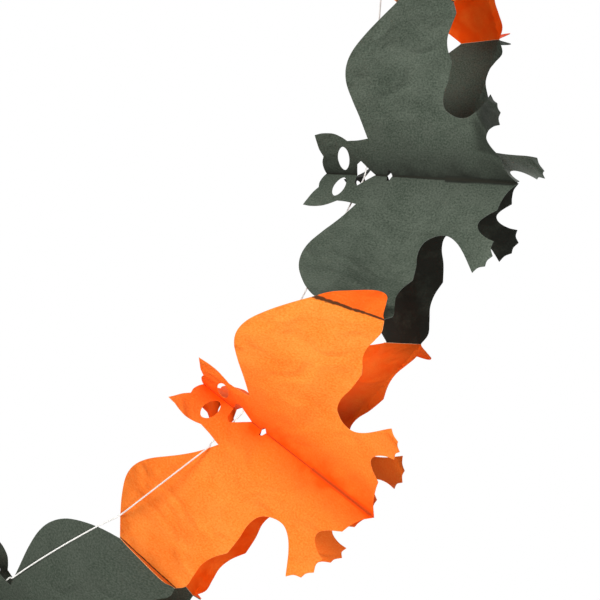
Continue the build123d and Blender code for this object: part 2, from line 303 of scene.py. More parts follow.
def near(points, ring, distance):
    """Which of the points lie closer than a distance to the corners of a ring."""
    corners = numpy.array(ring)
    gaps = ((points[:, None, :] - corners[None, :, :]) ** 2).sum(axis=2)
    return gaps.min(axis=1) < distance**2


def straight_run(start, end, step):
    """Points a step apart along a line, without its end."""
    pieces = max(1, round((Vector(end) - Vector(start)).length / step))
    return [tuple(Vector(start).lerp(Vector(end), piece / pieces)) for piece in range(pieces)]


print("steps of the grid and the cut, in mm:", grid_step / mm, cut_step / mm)


# %% The flat half sheet
def half_outline():
    """The ring of the half sheet: its cut, then its crease with half a mouth and half a nose."""
    ring = []
    for shares in outline_shares:
        ring += smooth_run([flat(share) for share in shares], cut_step)[:-1]
    last = flat((1.0, 0.0))
    for shares in (mouth_shares, nose_shares):
        hole = [flat(share) for share in reversed(shares)]
        ring += straight_run(last, hole[0], grid_step)
        for start, end in zip(hole, hole[1:]):
            ring += straight_run(start, end, cut_step)
        last = hole[-1]
    return ring + straight_run(last, flat((0.0, 0.0)), grid_step)


def flat_half():
    """The points and the triangles of the half sheet as the die leaves it."""
    outline = half_outline()
    eye = smooth_run([flat(share) for share in eye_shares], cut_step, closed=True)
    seam = [flat((share, 1.0)) for share in glue_line_shares]
    glue_line = straight_run(*seam, grid_step)[1:]

    along = numpy.arange(grid_from[0], grid_to[0], grid_step / body_length) * body_length
    rows = numpy.arange(grid_from[1], grid_to[1], grid_step / half_span * row_share)
    outward = rows * half_span
    grid = numpy.array([(a + (row % 2) * grid_step / 2, o)
                        for row, o in enumerate(outward) for a in along])
    keep = inside(grid, outline) & ~inside(grid, eye)
    keep &= ~near(grid, outline, clear_of_cut) & ~near(grid, eye, clear_of_cut)
    keep &= ~near(grid, glue_line, clear_of_glue_line)
    points = outline + eye + glue_line + [tuple(point) for point in grid[keep]]
    edges = [(i, (i + 1) % len(outline)) for i in range(len(outline))]
    first = len(outline)
    edges += [(first + i, first + (i + 1) % len(eye)) for i in range(len(eye))]
    first += len(eye)
    fold = [outline.index(min(outline, key=lambda p: (Vector(p) - Vector(end)).length))
            for end in seam]
    line = [fold[0]] + list(range(first, first + len(glue_line))) + [fold[1]]
    edges += list(zip(line, line[1:]))
    found = delaunay_2d_cdt([Vector(point) for point in points], edges, [], 0, same_point)
    places = numpy.array([tuple(place) for place in found[0]])
    middles = numpy.array([places[list(face)].mean(axis=0) for face in found[2]])
    good = inside(middles, outline) & ~inside(middles, eye)
    faces = [tuple(face) for face, kept in zip(found[2], good) if kept]
    return places, faces


die_points, die_faces = flat_half()
print("half sheet:", len(die_points), "points,", len(die_faces), "triangles")

# %% [markdown]
# Each half sheet hangs from its crease and is pulled by its glued tip. A cloth simulation could
# find such shapes, but the tips must land on the glue of the solid model, so the pose is written
# down instead. The creases and the joints lie where the solid model has them. Each bat has the
# two ends of its crease in mm, and how far its front and back heads nod, in degrees. Each joint
# has the two ends of its glue line. Each half sheet has its joint, the tilts of its head, its
# leading end and its tail, and how much it bellies at the head, in the middle and at the tail.
# The last tables say which tip of a front joint lies in front, and how far the flaps turn, in
# degrees.

# %% Where the sheets hang
spine_gap = 0.2 * mm
head_flare = 2.2 * mm
glue_bead = 0.24 * mm
neck_share = 0.27
skew_power = 1.5
free_tilt = 36
tip_start = 0.96
neck_corner = flat(outline_shares[3][-1])

bat_lines = {
    "bat_1": ((-35.0, -10.0, -126.0), (72.0, -22.0, -108.0), 0, 0),
    "bat_2": ((-49.5, 4.5, -264.5), (53.0, -31.5, -280.0), -12, -29),
    "bat_3": ((-107.0, -6.0, -372.5), (-21.0, -14.5, -440.0), 1, -13),
    "bat_4": ((-230.0, -12.0, -458.0), (-166.5, -11.5, -547.5), 0, 0),
}
joint_lines = {
    "joint_12_front": ((-0.2, -72.5, -197.5), (27.5, -73.5, -199.0)),
    "joint_12_back": ((17.0, 40.5, -193.0), (38.5, 25.5, -195.0)),
    "joint_23_front": ((-40.5, -71.5, -338.5), (-7.5, -67.5, -350.0)),
    "joint_23_back": ((-25.5, 54.0, -345.5), (-4.0, 36.5, -349.0)),
    "joint_34_front": ((-137.0, -60.0, -451.5), (-111.5, -53.0, -475.5)),
    "joint_34_back": ((-138.0, 34.5, -455.5), (-118.5, 22.0, -476.0)),
}
half_sheets = {
    ("bat_1", "front", "upper"): (None, 38, 38, 34, (0.0, 0.03, 0.0)),
    ("bat_1", "front", "lower"): ("joint_12_front", 38, 38, 35, (0.0, 0.0, 0.0)),
    ("bat_1", "back", "upper"): (None, 36, 36, 34, (0.0, 0.03, 0.0)),
    ("bat_1", "back", "lower"): ("joint_12_back", 36, 36, 71, (0.0, 0.024, 0.01)),
    ("bat_2", "front", "upper"): ("joint_12_front", 58, 51, 56, (-0.051, -0.077, 0.01)),
    ("bat_2", "front", "lower"): ("joint_23_front", 32, 38, 16, (0.034, -0.147, 0.037)),
    ("bat_2", "back", "upper"): ("joint_12_back", 78, 33, 77, (0.008, 0.061, 0.03)),
    ("bat_2", "back", "lower"): ("joint_23_back", 80, 37, 50, (0.0, 0.013, 0.066)),
    ("bat_3", "front", "upper"): ("joint_23_front", 46, 52, 64, (0.118, 0.037, -0.169)),
    ("bat_3", "front", "lower"): ("joint_34_front", 65, 46, 24, (-0.073, -0.089, 0.008)),
    ("bat_3", "back", "upper"): ("joint_23_back", 74, 42, 56, (0.01, 0.076, 0.07)),
    ("bat_3", "back", "lower"): ("joint_34_back", 62, 27, 52, (0.0, 0.0, 0.021)),
    ("bat_4", "front", "upper"): ("joint_34_front", 31, 17, 25, (0.069, 0.038, 0.005)),
    ("bat_4", "front", "lower"): (None, 35, 35, 34, (0.0, 0.03, 0.0)),
    ("bat_4", "back", "upper"): ("joint_34_back", 37, 31, 40, (0.0, 0.03, 0.0)),
    ("bat_4", "back", "lower"): (None, 36, 36, 34, (0.0, 0.03, 0.0)),
}
front_lap = {"joint_12_front": "upper", "joint_23_front": "upper", "joint_34_front": "lower"}
flap_folds = {"joint_12_front": 0, "joint_23_front": 0, "joint_34_front": 42}
flap_stands_off = 20
back_flap_turns = {("joint_12_back", "lower"): 26, ("joint_12_back", "upper"): 4,
                   ("joint_23_back", "upper"): -24, ("joint_23_back", "lower"): 70}
print("bats:", len(bat_lines), "glued pairs of tips:", len(joint_lines))

# %% [markdown]
# The class turns those numbers into places. The tilt of a half sheet away from the bat's own plane
# changes from the leading end to the tail in straight steps, and the paper bellies in between. The
# head has a tilt of its own ahead of the neck.

# %% The geometry of a hanging half sheet
def between(value, stations):
    """The size that a list of (place, size) stations gives at a place, in straight steps."""
    if value <= stations[0][0]:
        return stations[0][1]
    for (start, low), (end, high) in zip(stations, stations[1:]):
        if value <= end:
            return low + (high - low) * (value - start) / (end - start)
    return stations[-1][1]


class HalfSheet:
    """Half of a die-cut sheet, from its crease to its wing tip, as it hangs."""

    def __init__(self, bat, face, wing):
        head, tail, *nods = bat_lines[bat]
        self.joint, head_tilt, lead_tilt, tail_tilt, self.bellies = half_sheets[bat, face, wing]
        self.wing, self.nod = wing, math.radians(nods[0] if face == "front" else nods[1])
        self.head = Vector(head) * mm
        self.axis = (Vector(tail) * mm - self.head).normalized()
        viewer = Vector((0, -1, 0))
        self.toward = (viewer - self.axis * viewer.dot(self.axis)).normalized()
        upward = self.toward.cross(self.axis)
        self.side = 1 if face == "front" else -1
        self.rise = upward if wing == "upper" else -upward
        self.out = self.toward * self.side
        starts = [share * body_length for share in glue_line_shares]
        if self.joint:
            ends = [Vector(point) * mm - self.head for point in joint_lines[self.joint]]
            self.tips = [end + self.lap_shift() for end in ends]
        else:
            tilt = math.radians(free_tilt)
            reach = self.rise * math.cos(tilt) + self.out * math.sin(tilt)
            self.tips = [self.axis * start + reach * half_span for start in starts]
        self.places = [tip.dot(self.axis) for tip in self.tips]
        self.spread = [(tip.dot(self.rise), tip.dot(self.out)) for tip in self.tips]
        tips_tilt = [math.atan2(out, rise) for rise, out in self.spread]
        self.tilts = [math.radians(lead_tilt), *tips_tilt, math.radians(tail_tilt)]
        self.grow = (self.places[1] - self.places[0]) / (starts[1] - starts[0])
        self.neck_place = self.section_place(*neck_corner)
        self.head_tilts = [math.radians(head_tilt), self.hang(self.neck_place)[0]]

    def section_place(self, along, outward):
        """The place of the section that a point of the flat sheet moves to."""
        at_tip = self.places[0] + (along - glue_line_shares[0] * body_length) * self.grow
        return along + (at_tip - along) * (outward / half_span) ** skew_power

    def hang(self, place):
        """The tilt and the reach of the wing's section at a place."""
        rise, out = [between(place, list(zip(self.places, pair))) for pair in zip(*self.spread)]
        tilt = math.atan2(out, rise)
        if not self.places[0] < place < self.places[1]:
            stations = [(0, self.tilts[0]), (self.places[0], self.tilts[1]),
                        (self.places[1], self.tilts[2]), (body_length, self.tilts[3])]
            tilt = between(place, stations)
        return tilt, math.hypot(rise, out) / half_span

    def crease(self, place):
        """How far along the axis and out of the bat's plane the crease lies at a place."""
        neck = neck_share * body_length
        ahead = max(neck - place, 0)
        flare = between(place, [(0, head_flare), (neck + spine_gap, 0)])
        along = max(place, neck) - ahead * math.cos(self.nod)
        return along, ahead * math.sin(self.nod) * self.side + spine_gap + flare

    def leads_lap(self):
        return front_lap.get(self.joint) == self.wing

    def lap_shift(self):
        """How far a glued tip lies off its joint line, for the paper and the glue between."""
        off = paper + glue_bead
        if self.joint in front_lap:
            return Vector() if self.leads_lap() else leading_half(self.joint).tip_normal() * -off
        square = back_joint_normal(self.joint)
        return square * (-off / 2 if self.wing == "upper" else off / 2)

    def point(self, place, outward, off=0.0):
        """A point of the bent wing, or of the space in front of it."""
        middle = sum(self.places) / 2
        tilt, reach = self.hang(place)
        share = outward / half_span
        belly = between(place, list(zip((0, middle, body_length), self.bellies)))
        sag = belly * half_span * 4 * share * (1 - share) + off
        rise = outward * reach * math.cos(tilt) - sag * math.sin(tilt)
        out = outward * reach * math.sin(tilt) + sag * math.cos(tilt)
        along, lean = self.crease(place)
        out += lean * (1 - share)
        return self.head + self.axis * along + self.rise * rise + self.out * out

    def die_point(self, share, off=0.0):
        """A point of the bent wing given by its place on the die."""
        along, outward = flat(share)
        return self.point(self.section_place(along, outward), outward, off)

    def tip_run(self):
        """The way the sheet runs on at its tip."""
        middle = sum(self.places) / 2
        start, end = [self.point(middle, half_span * share) for share in (tip_start, 1)]
        return (end - start).normalized()

    def tip_normal(self):
        """The way the face of the sheet looks at its tip."""
        square = self.tip_run().cross(self.tips[1] - self.tips[0]).normalized()
        return square if square.dot(self.out) > 0 else -square

    def flap_run(self):
        """Which way the rounded tip beyond the glue line runs."""
        if self.joint is None:
            return self.tip_run()
        if self.joint not in front_lap:
            turn = math.radians(back_flap_turns.get((self.joint, self.wing), 0))
            run, square = back_joint_run(self.joint), back_joint_normal(self.joint)
            return run * math.cos(turn) + square * math.sin(turn)
        if self.leads_lap():
            turn = math.radians(flap_folds[self.joint])
            return self.tip_run() * math.cos(turn) + self.tip_normal() * math.sin(turn)
        leader, turn = leading_half(self.joint), math.radians(flap_stands_off)
        return -leader.tip_run() * math.cos(turn) - leader.tip_normal() * math.sin(turn)


def leading_half(joint):
    """The half sheet whose tip is the front one of a front joint."""
    for key, sheet in half_sheets.items():
        if sheet[0] == joint and front_lap[joint] == key[2]:
            return HalfSheet(*key)


def back_joint_run(joint):
    """The way both flaps of a back joint stick out."""
    first, last = [Vector(point) for point in joint_lines[joint]]
    line = (last - first).normalized()
    behind = Vector((0, 1, 0))
    return (behind - line * behind.dot(line)).normalized()


def back_joint_normal(joint):
    """The upward way square to both flaps of a back joint."""
    first, last = [Vector(point) for point in joint_lines[joint]]
    square = (last - first).cross(back_joint_run(joint)).normalized()
    return square if square.z > 0 else -square


print("half sheets:", len(half_sheets))

# %% [markdown]
# The bend follows one rule for all the half sheets, so it is a Geometry Nodes tree. It takes the
# flat half sheet and moves each point to where the crease, the tilt and the belly put it. A slow
# noise adds the soft ripples of paper that has been folded and handled. The flap beyond the glue
# line runs on in a direction of its own.

# %% The inputs of the bending tree
ripples_per_metre = 55.0
calm_rate = 6.0
ear_end, ear_width = neck_corner[0] * 0.75, neck_corner[1] * 1.35
head_width = neck_corner[1] * 1.006
bend_inputs = [
    ("Head", "NodeSocketVector"), ("Axis", "NodeSocketVector"), ("Rise", "NodeSocketVector"),
    ("Out", "NodeSocketVector"), ("Flap run", "NodeSocketVector"),
    ("First place", "NodeSocketFloat"), ("Last place", "NodeSocketFloat"),
    ("Rise at first", "NodeSocketFloat"), ("Out at first", "NodeSocketFloat"),
    ("Rise at last", "NodeSocketFloat"), ("Out at last", "NodeSocketFloat"),
    ("Lead turn", "NodeSocketFloat"), ("Tail turn", "NodeSocketFloat"),
    ("Neck place", "NodeSocketFloat"), ("Tilt of head", "NodeSocketFloat"),
    ("Tilt of neck", "NodeSocketFloat"),
    ("Belly at head", "NodeSocketFloat"), ("Belly in middle", "NodeSocketFloat"),
    ("Belly at tail", "NodeSocketFloat"), ("Nod", "NodeSocketFloat"), ("Side", "NodeSocketFloat"),
    ("Grow", "NodeSocketFloat"), ("Ripple height", "NodeSocketFloat"),
    ("Ripple seed", "NodeSocketFloat"), ("Paper", "NodeSocketMaterial"),
]
print("inputs of the tree:", len(bend_inputs))


# %% The bending tree
def climb(nodes, value, start, end, low, high):
    """A straight climb from low to high between two places."""
    part = nodes.make("ShaderNodeMapRange", {"clamp": True},
                      {"Value": value, "From Min": start, "From Max": end})
    return low + (high - low) * part


def on_the_head(nodes, s, t, place, neck_place):
    """One for the points of the head and its ear, nought for the wing's."""
    def below(value, limit):
        return nodes.make("ShaderNodeMath", {"operation": "LESS_THAN"}, {0: value, 1: limit})

    ear = below(s, ear_end) * below(t, ear_width)
    return below(t, head_width).most(ear) * below(place, neck_place)


def bending_tree():
    """The tree that hangs a flat half sheet in its place."""
    tree, nodes, given = shape_nodes("bent_half_sheet", bend_inputs)

    # The place on the die, and the section of the bent sheet that it belongs to.
    place_flat = nodes.make("GeometryNodeInputPosition")
    s = nodes.make("ShaderNodeSeparateXYZ", None, {0: place_flat})
    t, lift = nodes.also(s, 1), nodes.also(s, 2)
    share = (t / half_span).held()
    beyond = (t - half_span).most(0.0)
    start = glue_line_shares[0] * body_length
    at_tip = given["First place"] + (s - start) * given["Grow"]
    place = s + (at_tip - s) * share ** skew_power

    # How far that section reaches, and how it tilts.
    first, last = given["First place"], given["Last place"]
    tip_rise = climb(nodes, place, first, last, given["Rise at first"], given["Rise at last"])
    tip_out = climb(nodes, place, first, last, given["Out at first"], given["Out at last"])
    reach = (tip_rise * tip_rise + tip_out * tip_out) ** 0.5 / half_span
    tilt = nodes.make("ShaderNodeMath", {"operation": "ARCTAN2"}, {0: tip_out, 1: tip_rise})
    tilt = tilt + climb(nodes, place, 0.0, first, given["Lead turn"], 0.0)
    tilt = tilt + climb(nodes, place, last, body_length, 0.0, given["Tail turn"])
    head_tilt = climb(nodes, place, 0.0, given["Neck place"], given["Tilt of head"],
                      given["Tilt of neck"])
    tilt = tilt + (head_tilt - tilt) * on_the_head(nodes, s, t, place, given["Neck place"])

    # How much it bellies.
    middle = (first + last) * 0.5
    belly = climb(nodes, place, 0.0, middle, given["Belly at head"], given["Belly in middle"])
    belly = belly + climb(nodes, place, middle, body_length, 0.0,
                          given["Belly at tail"] - given["Belly in middle"])
    sag = belly * share * (1.0 - share) * (4 * half_span)
    run = share * half_span * reach

    # Where its crease lies, with the nod of the head.
    neck = neck_share * body_length
    ahead = (neck - place).most(0.0)
    along = place.most(neck) - ahead * given["Nod"].cosine()
    lean = ahead * given["Nod"].sine() * given["Side"]
    flare = climb(nodes, place, 0.0, neck + spine_gap, head_flare, 0.0)

    # Ripples, and the lift of a fold, square to the paper.
    slope = nodes.make("ShaderNodeMath", {"operation": "ARCTANGENT"},
                       {0: belly * (1.0 - 2.0 * share) * 4.0})
    lean_tilt = tilt + slope
    ripple = nodes.make("ShaderNodeTexNoise", {"noise_dimensions": "4D"},
                        {"Vector": place_flat * ripples_per_metre, "W": given["Ripple seed"],
                         "Scale": 1.0, "Detail": 2.0})
    calm = (share * calm_rate).held() * ((1.0 - share) * calm_rate).held()
    off = lift + (ripple - 0.5) * given["Ripple height"] * calm

    # The bent place.
    rise = run * tilt.cosine() - sag * tilt.sine() - off * lean_tilt.sine()
    out = run * tilt.sine() + sag * tilt.cosine() + off * lean_tilt.cosine()
    out = out + (lean + flare + spine_gap) * (1.0 - share)
    spot = given["Head"] + given["Axis"] * along + given["Rise"] * rise + given["Out"] * out
    spot = spot + given["Flap run"] * beyond
    moved = nodes.make("GeometryNodeSetPosition", None,
                       {"Geometry": given["Geometry"], "Position": spot})
    plain = nodes.make("GeometryNodeRealizeInstances", None, {0: moved})
    done = nodes.make("GeometryNodeSetMaterial", None,
                      {"Geometry": plain, "Material": given["Paper"]})
    nodes.make("NodeGroupOutput", None, {0: done})
    return tree


bend_tree = bending_tree()
print("bending tree:", len(bend_tree.nodes), "nodes")

# %% [markdown]
# The paper is dyed through, matt and slightly fibrous. Fibres show as a fine mottle of the colour
# and as a very shallow bump. A slower noise makes cloudy patches where the dye took unevenly, and
# two others the dents of handling. The pattern lies on the flat die, so it stays with the paper
# when the sheet bends. Two numbers stored on the sheet mix in more: "soaked" is the stain of the
# glue at a wing tip. The other is painted shade: it deepens the colour towards the crease, in the
# folds and on the back sheets, and above 1 it paints a shadow line along the crease.

# %% The two papers
def paper_material(name, pale, deep, stain_and_shadow_line, shaded, rough):
    """Paper between two tones, with the colour of its glue stain and painted shadow line, and the
    colour of its deepest painted shade.
    """
    material, nodes = shader_nodes(name)
    place = nodes.make("ShaderNodeUVMap", {"uv_map": "die"})
    fibre = nodes.make("ShaderNodeTexNoise", None,
                       {"Vector": place, "Scale": 1000.0, "Detail": 4.0, "Roughness": 0.7})
    cloud = nodes.make("ShaderNodeTexNoise", None,
                       {"Vector": place, "Scale": 70.0, "Detail": 3.0, "Roughness": 0.6})
    crumple = nodes.make("ShaderNodeTexNoise", None,
                         {"Vector": place, "Scale": 260.0, "Detail": 2.0, "Roughness": 0.5})
    shade = ((fibre - 0.5) * 3.4 + (cloud - 0.5) * 1.3 + 0.5).held()
    colour = nodes.make("ShaderNodeMix", {"data_type": "RGBA"},
                        {0: shade, 6: (*deep, 1.0), 7: (*pale, 1.0)}, output=2)
    # Painted shade: a number on the sheet mixes in the shade colour towards the crease, in the
    # folds and on the back sheets.
    painted_shade = nodes.make("ShaderNodeAttribute", {"attribute_name": "painted_shade"}, output=2)
    shade_mix = (painted_shade * ((cloud - 0.5) * 1.2 + 1.0)).held()
    colour = nodes.make("ShaderNodeMix", {"data_type": "RGBA"},
                        {0: shade_mix, 6: colour, 7: (*shaded, 1.0)}, output=2)
    # A painted shadow line along the crease, where that number is above 1, in the stain colour.
    colour = nodes.make("ShaderNodeMix", {"data_type": "RGBA"},
                        {0: (painted_shade - 1.0).held(), 6: colour, 7: (*stain_and_shadow_line, 1.0)}, output=2)
    soaked = nodes.make("ShaderNodeAttribute", {"attribute_name": "soaked"}, output=2)
    ragged = nodes.make("ShaderNodeTexNoise", None,
                        {"Vector": place, "Scale": 500.0, "Detail": 3.0})
    wet = ((soaked + (ragged - 0.5) * 0.9 - 0.4) * 3.5).held() * (soaked * 8.0).held()
    colour = nodes.make("ShaderNodeMix", {"data_type": "RGBA"},
                        {0: wet, 6: colour, 7: (*stain_and_shadow_line, 1.0)}, output=2)
    handled = nodes.make("ShaderNodeTexNoise", None,
                         {"Vector": place, "Scale": 52.0, "Detail": 1.5, "Distortion": 0.8})
    bump = nodes.make("ShaderNodeBump", None,
                      {"Strength": 0.5, "Distance": 0.00014,
                       "Height": fibre * 1.3 + crumple * 2.0 + handled * 46.0})
    surface = nodes.make("ShaderNodeBsdfPrincipled", None,
                         {"Base Color": colour, "Roughness": rough, "Normal": bump,
                          "Specular IOR Level": 0.08})
    nodes.make("ShaderNodeOutputMaterial", None, {"Surface": surface})
    return material


# Each paper's third colour is its glue stain and also its painted shadow line along the crease;
# its fourth colour is its painted shade.
orange_paper = paper_material("orange_paper", (1.0, 0.335, 0.058), (0.96, 0.205, 0.018),
                              (0.1, 0.035, 0.012), (0.96, 0.075, 0.001), 0.85)
orange_rim = paper_material("orange_rim", (1.0, 0.42, 0.16), (0.95, 0.33, 0.1),
                            (0.5, 0.2, 0.1), (0.9, 0.16, 0.02), 0.9)
black_paper = paper_material("black_paper", (0.125, 0.148, 0.115), (0.05, 0.066, 0.048),
                             (0.02, 0.018, 0.012), (0.016, 0.018, 0.014), 0.75)
black_rim = paper_material("black_rim", (0.22, 0.24, 0.22), (0.14, 0.16, 0.14),
                           (0.1, 0.1, 0.09), (0.05, 0.055, 0.045), 0.9)
print("papers:", orange_paper.name, black_paper.name)

# %% [markdown]
# Handling has folded one foot back across its root. Such a fold is made in the flat sheet, before
# the big bend: the points beyond a line turn round it, with a small radius instead of a knife
# edge. Each fold has the ends of its line in mm on the die, its angle, and its radius in mm.

# %% A small fold made by hand
fold_slack = 0.05
hand_folds = {
    ("bat_2", "front", "upper"): [((80.0, 38.8), (94.6, 24.5), -93, 2.0)],
}


def fold_flat(points, start, end, angle, radius):
    """Turns the flat points beyond a line out of the sheet."""
    start, end = Vector(start) * mm, Vector(end) * mm
    line = (end - start).normalized()
    across = Vector((-line.y, line.x))
    length = (end - start).length
    radius = radius * mm
    turn = math.radians(abs(angle))
    up = 1 if angle > 0 else -1
    folded = []
    for x, y, z in points:
        offset = Vector((x, y)) - start
        beyond, run = offset.dot(across), offset.dot(line)
        if beyond <= 0 or not -fold_slack * length < run < (1 + fold_slack) * length:
            folded.append((x, y, z))
            continue
        arc = min(beyond, radius * turn)
        rest = beyond - arc
        bend = arc / radius
        reach = radius * math.sin(bend) + rest * math.cos(bend)
        lift = radius * (1 - math.cos(bend)) + rest * math.sin(bend)
        spot = start + line * run + across * reach
        folded.append((spot.x, spot.y, z + up * lift))
    return folded


print("folded feet:", len(hand_folds))

# %% [markdown]
# The colour isn't even over a sheet. Shade is painted into it: deeper towards the crease and in
# the folds, where the paper shades itself, darker on the back sheets, which lie in the shadow of
# the front ones, and darker along a painted shadow line at the crease; some feet and a tip flap
# get painted light or shade too. The glue has left a line at some tips. Each kind of half sheet
# has its painted shade far from the crease, its painted shade at the crease, and over how many mm
# it fades. One wing of the last bat has a row of its own, and so have some feet and a tip flap. A
# seam has the half width of its stain at both ends, in mm.

# %% How much painted shade the colour gets
colours = {"bat_1": "orange", "bat_2": "black", "bat_3": "orange", "bat_4": "black"}
crease_shadow_depths = {
    # Painted shade: darker towards the crease, where the wings shade each other, and darker all
    # over on the back sheets.
    ("orange", "front", "upper"): (0.0, 1.0, 22), ("orange", "front", "lower"): (0.12, 0.95, 16),
    ("orange", "back", "upper"): (0.75, 0.95, 20), ("orange", "back", "lower"): (0.9, 1.0, 20),
    ("black", "front", "upper"): (0.0, 1.0, 19), ("black", "front", "lower"): (0.05, 0.4, 14),
    ("black", "back", "upper"): (0.35, 0.9, 30), ("black", "back", "lower"): (1.0, 1.0, 20),
    ("bat_4", "front", "upper"): (0.42, 0.7, 20),
}
# A painted shadow line right along the crease of the front sheets.
crease_shadow_line_width, crease_shadow_line_depth = 0.1 * mm, 1.65
foot_corner, foot_reach, foot_blend = flat((0.75, 0.16)), 0.62 * half_span, 0.07 * body_length
# Painted shade on the folded-back foot of the second bat, and painted light on the back feet that
# face the light.
foot_light_and_shade = {("bat_2", "front", "upper"): 0.72, ("bat_2", "back", "upper"): 0.0,
               ("bat_3", "back", "upper"): 0.6, ("bat_3", "back", "lower"): 0.5}
# Painted shade on the tip flap of the third bat, which hangs in the shadow of the wing behind it.
flap_shadow_depths = {("bat_3", "front", "upper"): 0.7}
seam_ends = (36 * mm, 67 * mm)
soaked_seams = {
    ("bat_3", "front", "upper"): (2.6, 1.0), ("bat_3", "front", "lower"): (0.9, 0.7),
    ("bat_1", "front", "lower"): (2.2, 1.6),
}


def painted_shading_at(key, along, outward):
    """How much painted shade a place of the die gets: more is darker, less is painted light."""
    if key[1] == "front" and outward < crease_shadow_line_width:
        return crease_shadow_line_depth
    if key in flap_shadow_depths and outward > half_span:
        return flap_shadow_depths[key]
    far, at_crease, fade = crease_shadow_depths.get(key) or crease_shadow_depths[colours[key[0]], *key[1:]]
    depth = far + (at_crease - far) * math.exp(-outward / (fade * mm))
    if key in foot_light_and_shade and foot_corner[1] < outward < foot_reach:
        past = min(max((along - foot_corner[0]) / foot_blend, 0), 1)
        depth += (foot_light_and_shade[key] - depth) * past
    return depth


def soaked_part(key, along, outward):
    """How much glue has soaked in at a place of the die."""
    if key not in soaked_seams:
        return 0.0
    width = between(along, list(zip(seam_ends, soaked_seams[key])))
    return max(0.0, 1 - abs(outward - half_span) / (width * mm))


print("soaked seams:", len(soaked_seams))

# %% [markdown]
# A half sheet starts flat. It gets its texture map, its glue stain and its painted shade there,
# where every place of the die is known, and then goes through the bending tree with the numbers of
# its pose.

# %% One bent half sheet
ripple_height = 0.9 * mm
seed_step = 3.7
seeds = {key: seed_step * index for index, key in enumerate(half_sheets)}
lower_half_shift = 0.2


def flat_half_mesh(key, turned):
    """The flat half sheet with its fold, its texture map, its glue stain and its painted shade."""
    points = [(x, y, 0.0) for x, y in die_points]
    for fold in hand_folds.get(key, []):
        points = fold_flat(points, *fold)
    faces = [face[::-1] for face in die_faces] if turned else die_faces
    mesh = bpy.data.meshes.new("flat_half")
    mesh.from_pydata(points, [], faces)
    uv = mesh.uv_layers.new(name="die")
    shift = lower_half_shift if key[2] == "lower" else 0.0
    for loop in mesh.loops:
        along, outward = die_points[loop.vertex_index]
        uv.data[loop.index].uv = (along, outward + shift)
    soaked = mesh.attributes.new("soaked", "FLOAT", "POINT")
    for index, (along, outward) in enumerate(die_points):
        soaked.data[index].value = soaked_part(key, along, outward)
    # Painted shade and painted light, stored on the corners of the sheet.
    depths = [painted_shading_at(key, along, outward) for along, outward in die_points]
    painted_shade = mesh.attributes.new("painted_shade", "FLOAT", "CORNER")
    for loop in mesh.loops:
        painted_shade.data[loop.index].value = depths[loop.vertex_index]
    return mesh


def half_object(key, material):
    """One bent half sheet as a plain mesh."""
    half = HalfSheet(*key)
    turned = half.rise.cross(half.out).dot(half.axis) > 0
    source = bpy.data.objects.new("flat_half", flat_half_mesh(key, turned))
    bpy.context.collection.objects.link(source)
    settings = {
        "Head": half.head, "Axis": half.axis, "Rise": half.rise, "Out": half.out,
        "Flap run": half.flap_run(), "First place": half.places[0], "Last place": half.places[1],
        "Rise at first": half.spread[0][0], "Out at first": half.spread[0][1],
        "Rise at last": half.spread[1][0], "Out at last": half.spread[1][1],
        "Lead turn": half.tilts[0] - half.tilts[1], "Tail turn": half.tilts[3] - half.tilts[2],
        "Neck place": half.neck_place, "Tilt of head": half.head_tilts[0],
        "Tilt of neck": half.head_tilts[1],
        "Belly at head": half.bellies[0], "Belly in middle": half.bellies[1],
        "Belly at tail": half.bellies[2], "Nod": half.nod, "Side": float(half.side),
        "Grow": half.grow, "Ripple height": ripple_height, "Ripple seed": seeds[key],
        "Paper": material,
    }
    return finished_mesh(source, bend_tree, settings)


print("half sheets to bend:", len(seeds))

# %% [markdown]
# Each sheet is two bent halves, joined along the crease, and given the thickness of the paper by a
# Solidify modifier. The rim of the cut is paler than the face, because the knife bares the core of
# the paper, so Solidify gives it the second material.

# %% The eight sheets
papers = {"orange": (orange_paper, orange_rim), "black": (black_paper, black_rim)}
join_distance = 0.02 * mm
sharp_from = math.radians(32)


def joined_halves(bat, face, paper_side, rim):
    """Both halves of a sheet as one mesh, still without its thickness."""
    joined = bmesh.new()
    for wing in ("upper", "lower"):
        mesh = half_object((bat, face, wing), paper_side)
        joined.from_mesh(mesh)
        bpy.data.meshes.remove(mesh)
    bmesh.ops.remove_doubles(joined, verts=joined.verts, dist=join_distance)
    mesh = bpy.data.meshes.new(f"{bat}_{face}_paper")
    joined.to_mesh(mesh)
    joined.free()
    mesh.materials.clear()
    mesh.materials.append(paper_side)
    mesh.materials.append(rim)
    return mesh


def whole_sheet(bat, face):
    """A front or a back sheet with its thickness."""
    paper_side, rim = papers[colours[bat]]
    mesh = joined_halves(bat, face, paper_side, rim)
    sheet = bpy.data.objects.new(mesh.name, mesh)
    bpy.context.collection.objects.link(sheet)
    thick = sheet.modifiers.new("paper", "SOLIDIFY")
    thick.thickness, thick.offset = paper, 0.0
    thick.use_even_offset = True
    thick.material_offset_rim = 1
    bpy.context.view_layer.update()
    graph = bpy.context.evaluated_depsgraph_get()
    solid = bpy.data.meshes.new_from_object(sheet.evaluated_get(graph), depsgraph=graph)
    sheet.modifiers.clear()
    sheet.data = solid
    bpy.data.meshes.remove(mesh)
    solid.name = sheet.name
    solid.shade_smooth()
    solid.set_sharp_from_angle(angle=sharp_from)
    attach(sheet, "root")
    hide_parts(f"{bat}_{face}_sheet")
    "orange_paper" if paper_side == orange_paper else "black_paper"
    print(sheet.name, len(solid.polygons), "faces")
    return sheet


sheets = [whole_sheet(bat, face) for bat in bat_lines for face in ("front", "back")]
print("sheets:", len(sheets))

